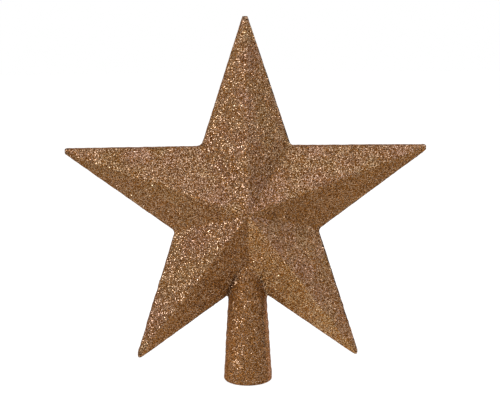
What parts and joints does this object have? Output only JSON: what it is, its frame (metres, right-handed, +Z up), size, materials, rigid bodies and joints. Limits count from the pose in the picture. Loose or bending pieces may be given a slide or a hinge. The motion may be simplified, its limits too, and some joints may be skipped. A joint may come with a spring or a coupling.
{
  "type": "christmas tree topper star",
  "caption": "Hollow five-pointed star with facets on both sides and a bronze glitter coat, on a conical sleeve for the tree's top shoot.",
  "frame": {"origin": "centre of the sleeve's mouth, the lowest face of the part", "axes": "+Z up through the top point, -Y out of the front facets, +X to the right seen from the front"},
  "size_m": [0.1864, 0.0534, 0.1913],
  "materials": {
    "moulded_plastic": "bare injection-moulded polystyrene, tinted brown",
    "set_cement": "clear cement, set, yellowish",
    "bronze_glitter": "bronze film glitter in clear lacquer"
  },
  "bodies": {
    "root": {"front_shell": "moulded_plastic", "rear_shell": "moulded_plastic", "seam_cement": "set_cement", "glitter_coat": "bronze_glitter"}
  },
  "joints": []
}
